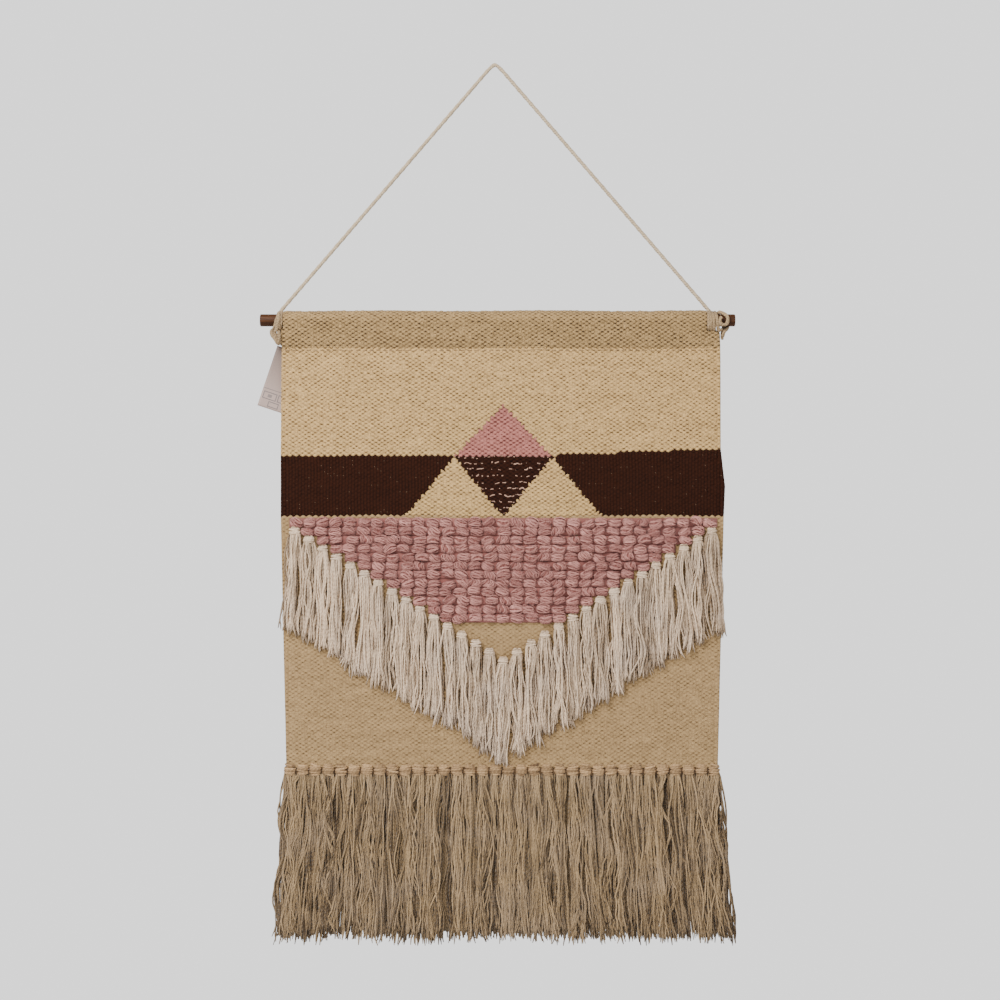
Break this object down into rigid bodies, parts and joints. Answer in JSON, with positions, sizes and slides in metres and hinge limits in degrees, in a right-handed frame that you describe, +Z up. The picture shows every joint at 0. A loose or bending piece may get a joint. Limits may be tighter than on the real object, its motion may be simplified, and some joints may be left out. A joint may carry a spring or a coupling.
{
  "type": "woven wall hanging",
  "caption": "Flat-woven cotton wall hanging on a wooden dowel, with triangles and a dark band, rows of raised loops, a V of tassels, a bottom fringe and a cord to hang it by.",
  "frame": {"origin": "the underside of the cord's bend, where it rests on the nail", "axes": "+X to the viewer's right along the dowel, -Y to the front away from the wall, +Z up"},
  "size_m": [0.5467, 0.0236, 1.0045],
  "materials": {
    "stained_wood": "stained and waxed, satin",
    "cord": "two-ply twisted cotton, matt",
    "cream_weave": "weft-faced cotton weave, matt",
    "pink_yarn": "soft cotton yarn, matt",
    "brown_weave": "weft-faced cotton weave, matt",
    "tassel_yarn": "off-white cotton yarn, matt",
    "fringe_yarn": "undyed taupe cotton yarn, matt",
    "seam_thread": "cotton thread, matt",
    "label_tape": "woven tape, satin"
  },
  "bodies": {
    "hanger": {"dowel": "stained_wood", "hanging_cord": "cord", "left_knot": "cord", "right_knot": "cord"},
    "panel": {"rod_pocket": "cream_weave", "upper_field": "cream_weave", "pink_triangle": "pink_yarn", "brown_band_left": "brown_weave", "brown_band_right": "brown_weave", "brown_centre_triangle": "brown_weave", "cream_triangle_left": "cream_weave", "cream_triangle_right": "cream_weave", "lower_field": "cream_weave", "pocket_seam": "seam_thread", "loop_rows_01_02": "pink_yarn", "loop_rows_03_04": "pink_yarn", "loop_rows_05_06": "pink_yarn", "loop_rows_07_08": "pink_yarn", "loop_rows_09_10": "pink_yarn", "loop_rows_11_12": "pink_yarn", "tassel_knots_left": "tassel_yarn", "tassel_knots_right": "tassel_yarn", "fringe_knots": "fringe_yarn"},
    "tassel_left_01": {"tassel_left_01": "tassel_yarn"},
    "tassel_left_02": {"tassel_left_02": "tassel_yarn"},
    "tassel_left_03": {"tassel_left_03": "tassel_yarn"},
    "tassel_left_04": {"tassel_left_04": "tassel_yarn"},
    "tassel_left_05": {"tassel_left_05": "tassel_yarn"},
    "tassel_left_06": {"tassel_left_06": "tassel_yarn"},
    "tassel_left_07": {"tassel_left_07": "tassel_yarn"},
    "tassel_left_08": {"tassel_left_08": "tassel_yarn"},
    "tassel_left_09": {"tassel_left_09": "tassel_yarn"},
    "tassel_left_10": {"tassel_left_10": "tassel_yarn"},
    "tassel_left_11": {"tassel_left_11": "tassel_yarn"},
    "tassel_left_12": {"tassel_left_12": "tassel_yarn"},
    "tassel_left_13": {"tassel_left_13": "tassel_yarn"},
    "tassel_left_14": {"tassel_left_14": "tassel_yarn"},
    "tassel_left_15": {"tassel_left_15": "tassel_yarn"},
    "tassel_centre": {"tassel_centre": "tassel_yarn"},
    "tassel_right_15": {"tassel_right_15": "tassel_yarn"},
    "tassel_right_14": {"tassel_right_14": "tassel_yarn"},
    "tassel_right_13": {"tassel_right_13": "tassel_yarn"},
    "tassel_right_12": {"tassel_right_12": "tassel_yarn"},
    "tassel_right_11": {"tassel_right_11": "tassel_yarn"},
    "tassel_right_10": {"tassel_right_10": "tassel_yarn"},
    "tassel_right_09": {"tassel_right_09": "tassel_yarn"},
    "tassel_right_08": {"tassel_right_08": "tassel_yarn"},
    "tassel_right_07": {"tassel_right_07": "tassel_yarn"},
    "tassel_right_06": {"tassel_right_06": "tassel_yarn"},
    "tassel_right_05": {"tassel_right_05": "tassel_yarn"},
    "tassel_right_04": {"tassel_right_04": "tassel_yarn"},
    "tassel_right_03": {"tassel_right_03": "tassel_yarn"},
    "tassel_right_02": {"tassel_right_02": "tassel_yarn"},
    "tassel_right_01": {"tassel_right_01": "tassel_yarn"},
    "fringe_section_1": {"fringe_section_1": "fringe_yarn"},
    "fringe_section_2": {"fringe_section_2": "fringe_yarn"},
    "fringe_section_3": {"fringe_section_3": "fringe_yarn"},
    "fringe_section_4": {"fringe_section_4": "fringe_yarn"},
    "fringe_section_5": {"fringe_section_5": "fringe_yarn"},
    "care_label": {"care_label": "label_tape"}
  },
  "joints": [
    {"name": "cloth_on_dowel", "type": "hinge", "parent": "hanger", "child": "panel", "pos_m": [0, 0, -0.29], "axis": [-1, 0, 0], "range_deg": [0, 60]},
    {"name": "tassel_left_01_swing", "type": "hinge", "parent": "panel", "child": "tassel_left_01", "pos_m": [-0.22825, -0.0077, -0.53128], "axis": [-1, 0, 0], "range_deg": [0, 75]},
    {"name": "tassel_left_02_swing", "type": "hinge", "parent": "panel", "child": "tassel_left_02", "pos_m": [-0.2124, -0.0077, -0.54116], "axis": [-1, 0, 0], "range_deg": [0, 75]},
    {"name": "tassel_left_03_swing", "type": "hinge", "parent": "panel", "child": "tassel_left_03", "pos_m": [-0.19655, -0.0077, -0.55104], "axis": [-1, 0, 0], "range_deg": [0, 75]},
    {"name": "tassel_left_04_swing", "type": "hinge", "parent": "panel", "child": "tassel_left_04", "pos_m": [-0.1807, -0.0077, -0.56092], "axis": [-1, 0, 0], "range_deg": [0, 75]},
    {"name": "tassel_left_05_swing", "type": "hinge", "parent": "panel", "child": "tassel_left_05", "pos_m": [-0.16485, -0.0077, -0.5708], "axis": [-1, 0, 0], "range_deg": [0, 75]},
    {"name": "tassel_left_06_swing", "type": "hinge", "parent": "panel", "child": "tassel_left_06", "pos_m": [-0.149, -0.0077, -0.58068], "axis": [-1, 0, 0], "range_deg": [0, 75]},
    {"name": "tassel_left_07_swing", "type": "hinge", "parent": "panel", "child": "tassel_left_07", "pos_m": [-0.13315, -0.0077, -0.59056], "axis": [-1, 0, 0], "range_deg": [0, 75]},
    {"name": "tassel_left_08_swing", "type": "hinge", "parent": "panel", "child": "tassel_left_08", "pos_m": [-0.1173, -0.0077, -0.60044], "axis": [-1, 0, 0], "range_deg": [0, 75]},
    {"name": "tassel_left_09_swing", "type": "hinge", "parent": "panel", "child": "tassel_left_09", "pos_m": [-0.10145, -0.0077, -0.61032], "axis": [-1, 0, 0], "range_deg": [0, 75]},
    {"name": "tassel_left_10_swing", "type": "hinge", "parent": "panel", "child": "tassel_left_10", "pos_m": [-0.0856, -0.0077, -0.6202], "axis": [-1, 0, 0], "range_deg": [0, 75]},
    {"name": "tassel_left_11_swing", "type": "hinge", "parent": "panel", "child": "tassel_left_11", "pos_m": [-0.06975, -0.0077, -0.63008], "axis": [-1, 0, 0], "range_deg": [0, 75]},
    {"name": "tassel_left_12_swing", "type": "hinge", "parent": "panel", "child": "tassel_left_12", "pos_m": [-0.0539, -0.0077, -0.63996], "axis": [-1, 0, 0], "range_deg": [0, 75]},
    {"name": "tassel_left_13_swing", "type": "hinge", "parent": "panel", "child": "tassel_left_13", "pos_m": [-0.03805, -0.0077, -0.64984], "axis": [-1, 0, 0], "range_deg": [0, 75]},
    {"name": "tassel_left_14_swing", "type": "hinge", "parent": "panel", "child": "tassel_left_14", "pos_m": [-0.0222, -0.0077, -0.65972], "axis": [-1, 0, 0], "range_deg": [0, 75]},
    {"name": "tassel_left_15_swing", "type": "hinge", "parent": "panel", "child": "tassel_left_15", "pos_m": [-0.00635, -0.0077, -0.6696], "axis": [-1, 0, 0], "range_deg": [0, 75]},
    {"name": "tassel_centre_swing", "type": "hinge", "parent": "panel", "child": "tassel_centre", "pos_m": [0.0095, -0.0077, -0.67948], "axis": [-1, 0, 0], "range_deg": [0, 75]},
    {"name": "tassel_right_15_swing", "type": "hinge", "parent": "panel", "child": "tassel_right_15", "pos_m": [0.02535, -0.0077, -0.6696], "axis": [-1, 0, 0], "range_deg": [0, 75]},
    {"name": "tassel_right_14_swing", "type": "hinge", "parent": "panel", "child": "tassel_right_14", "pos_m": [0.0412, -0.0077, -0.65972], "axis": [-1, 0, 0], "range_deg": [0, 75]},
    {"name": "tassel_right_13_swing", "type": "hinge", "parent": "panel", "child": "tassel_right_13", "pos_m": [0.05705, -0.0077, -0.64984], "axis": [-1, 0, 0], "range_deg": [0, 75]},
    {"name": "tassel_right_12_swing", "type": "hinge", "parent": "panel", "child": "tassel_right_12", "pos_m": [0.0729, -0.0077, -0.63996], "axis": [-1, 0, 0], "range_deg": [0, 75]},
    {"name": "tassel_right_11_swing", "type": "hinge", "parent": "panel", "child": "tassel_right_11", "pos_m": [0.08875, -0.0077, -0.63008], "axis": [-1, 0, 0], "range_deg": [0, 75]},
    {"name": "tassel_right_10_swing", "type": "hinge", "parent": "panel", "child": "tassel_right_10", "pos_m": [0.1046, -0.0077, -0.6202], "axis": [-1, 0, 0], "range_deg": [0, 75]},
    {"name": "tassel_right_09_swing", "type": "hinge", "parent": "panel", "child": "tassel_right_09", "pos_m": [0.12045, -0.0077, -0.61032], "axis": [-1, 0, 0], "range_deg": [0, 75]},
    {"name": "tassel_right_08_swing", "type": "hinge", "parent": "panel", "child": "tassel_right_08", "pos_m": [0.1363, -0.0077, -0.60044], "axis": [-1, 0, 0], "range_deg": [0, 75]},
    {"name": "tassel_right_07_swing", "type": "hinge", "parent": "panel", "child": "tassel_right_07", "pos_m": [0.15215, -0.0077, -0.59056], "axis": [-1, 0, 0], "range_deg": [0, 75]},
    {"name": "tassel_right_06_swing", "type": "hinge", "parent": "panel", "child": "tassel_right_06", "pos_m": [0.168, -0.0077, -0.58068], "axis": [-1, 0, 0], "range_deg": [0, 75]},
    {"name": "tassel_right_05_swing", "type": "hinge", "parent": "panel", "child": "tassel_right_05", "pos_m": [0.18385, -0.0077, -0.5708], "axis": [-1, 0, 0], "range_deg": [0, 75]},
    {"name": "tassel_right_04_swing", "type": "hinge", "parent": "panel", "child": "tassel_right_04", "pos_m": [0.1997, -0.0077, -0.56092], "axis": [-1, 0, 0], "range_deg": [0, 75]},
    {"name": "tassel_right_03_swing", "type": "hinge", "parent": "panel", "child": "tassel_right_03", "pos_m": [0.21555, -0.0077, -0.55104], "axis": [-1, 0, 0], "range_deg": [0, 75]},
    {"name": "tassel_right_02_swing", "type": "hinge", "parent": "panel", "child": "tassel_right_02", "pos_m": [0.2314, -0.0077, -0.54116], "axis": [-1, 0, 0], "range_deg": [0, 75]},
    {"name": "tassel_right_01_swing", "type": "hinge", "parent": "panel", "child": "tassel_right_01", "pos_m": [0.24725, -0.0077, -0.53128], "axis": [-1, 0, 0], "range_deg": [0, 75]},
    {"name": "fringe_section_1_swing", "type": "hinge", "parent": "panel", "child": "fringe_section_1", "pos_m": [0.008, -0.00175, -0.8064], "axis": [-1, 0, 0], "range_deg": [-3, 75]},
    {"name": "fringe_section_2_swing", "type": "hinge", "parent": "panel", "child": "fringe_section_2", "pos_m": [0.008, -0.00175, -0.8064], "axis": [-1, 0, 0], "range_deg": [-3, 75]},
    {"name": "fringe_section_3_swing", "type": "hinge", "parent": "panel", "child": "fringe_section_3", "pos_m": [0.008, -0.00175, -0.8064], "axis": [-1, 0, 0], "range_deg": [-3, 75]},
    {"name": "fringe_section_4_swing", "type": "hinge", "parent": "panel", "child": "fringe_section_4", "pos_m": [0.008, -0.00175, -0.8064], "axis": [-1, 0, 0], "range_deg": [-3, 75]},
    {"name": "fringe_section_5_swing", "type": "hinge", "parent": "panel", "child": "fringe_section_5", "pos_m": [0.008, -0.00175, -0.8064], "axis": [-1, 0, 0], "range_deg": [-3, 75]},
    {"name": "care_label_flap", "type": "hinge", "parent": "panel", "child": "care_label", "pos_m": [-0.2494, 0.00425, -0.3186], "axis": [0.9483, 0, -0.3173], "range_deg": [0, 70]}
  ]
}
